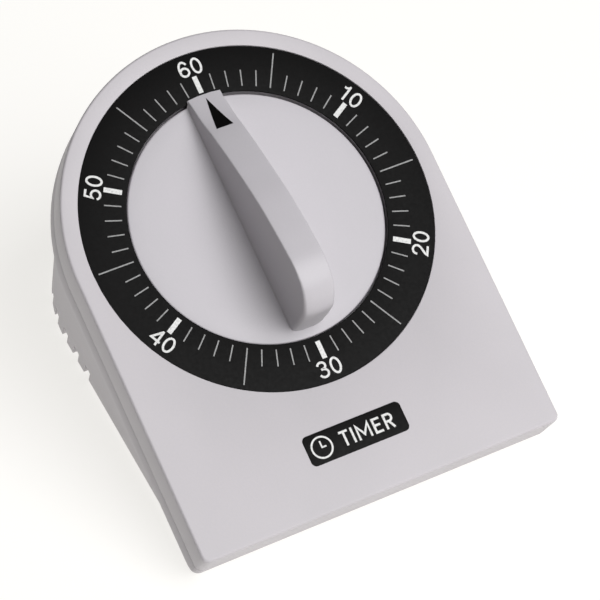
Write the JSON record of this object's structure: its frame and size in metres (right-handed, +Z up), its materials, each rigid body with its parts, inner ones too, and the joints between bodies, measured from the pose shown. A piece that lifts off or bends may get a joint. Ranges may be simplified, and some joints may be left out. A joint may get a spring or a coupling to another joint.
{
  "type": "kitchen timer",
  "caption": "Wind-up kitchen timer: wedge-shaped case with a sloping dial, a finger-grip pointer knob, a clockwork movement and a bell.",
  "frame": {"origin": "middle of the timer's bounding box, on the table under it", "axes": "+Z up, front of the timer towards -Y, +X to the right seen from the front; the dial face slopes 31.6 degrees above the table"},
  "size_m": [0.0862, 0.119, 0.0653],
  "materials": {
    "shell_plastic": "fine satin texture, slightly pinkish white",
    "knob_plastic": "smooth satin, slightly lighter than the case",
    "black_print": "satin black print",
    "rubber": "matt",
    "brass": "rolled sheet, lightly brushed",
    "steel": "turned",
    "spring_steel": "blued strip",
    "bell_metal": "bright nickel plate"
  },
  "bodies": {
    "case": {"front_shell": "shell_plastic", "rear_housing": "shell_plastic", "base_plate": "shell_plastic", "dial_ring": "black_print", "badge": "black_print", "foot_1": "rubber", "foot_2": "rubber", "foot_3": "rubber", "foot_4": "rubber", "base_screw_1": "steel", "base_screw_2": "steel", "base_screw_3": "steel", "base_screw_4": "steel", "case_screw_1": "steel", "case_screw_2": "steel", "case_screw_3": "steel", "movement_front_plate": "brass", "movement_back_plate": "brass", "pillar_1": "steel", "pillar_2": "steel", "pillar_3": "steel", "pillar_4": "steel", "pillar_nut_1": "brass", "pillar_nut_2": "brass", "pillar_nut_3": "brass", "pillar_nut_4": "brass", "movement_screw_1": "steel", "movement_screw_2": "steel", "movement_screw_3": "steel", "mainspring": "spring_steel", "stop_post": "steel", "bell": "bell_metal", "bell_post": "steel", "bell_nut": "brass"},
    "knob_set": {"knob": "knob_plastic", "pointer_mark": "black_print", "main_arbor": "steel", "main_wheel": "brass", "stop_cam": "brass"},
    "second_set": {"second_arbor": "steel", "second_wheel": "brass"},
    "third_set": {"third_arbor": "steel", "third_wheel": "brass"},
    "escape_set": {"escape_arbor": "steel", "escape_wheel": "brass"},
    "verge_set": {"verge_arbor": "steel", "verge": "steel"},
    "hammer_set": {"hammer_arbor": "steel", "hammer": "steel", "trip_arm": "steel"}
  },
  "joints": [
    {"name": "knob_turn", "type": "hinge", "parent": "case", "child": "knob_set", "pos_m": [0, -0.00438, 0.04288], "axis": [0, 0.5237, -0.8519], "range_deg": [0, 350]},
    {"name": "second_wheel_turn", "type": "hinge", "parent": "case", "child": "second_set", "pos_m": [-0.01961, -0.00203, 0.04432], "axis": [0, 0.5237, -0.8519], "range_deg": [-1750, 0]},
    {"name": "third_wheel_turn", "type": "hinge", "parent": "case", "child": "third_set", "pos_m": [-0.011, 0.00843, 0.05076], "axis": [0, 0.5237, -0.8519], "range_deg": [0, 7000]},
    {"name": "escape_wheel_turn", "type": "hinge", "parent": "case", "child": "escape_set", "pos_m": [0.00041, 0.01159, 0.0527], "axis": [0, 0.5237, -0.8519], "range_deg": [-28000, 0]},
    {"name": "verge_rock", "type": "hinge", "parent": "case", "child": "verge_set", "pos_m": [0.01121, 0.01159, 0.0527], "axis": [0, 0.5237, -0.8519], "range_deg": [-3, 3]},
    {"name": "hammer_swing", "type": "hinge", "parent": "case", "child": "hammer_set", "pos_m": [0.021, -0.00779, 0.04079], "axis": [0, 0.5237, -0.8519], "range_deg": [-3, 10], "stiffness_Nm_per_rad": 0.01}
  ],
  "couplings": [
    {"joint": "second_wheel_turn", "follows": "knob_turn", "ratio": -5},
    {"joint": "third_wheel_turn", "follows": "knob_turn", "ratio": 20},
    {"joint": "escape_wheel_turn", "follows": "knob_turn", "ratio": -80}
  ]
}
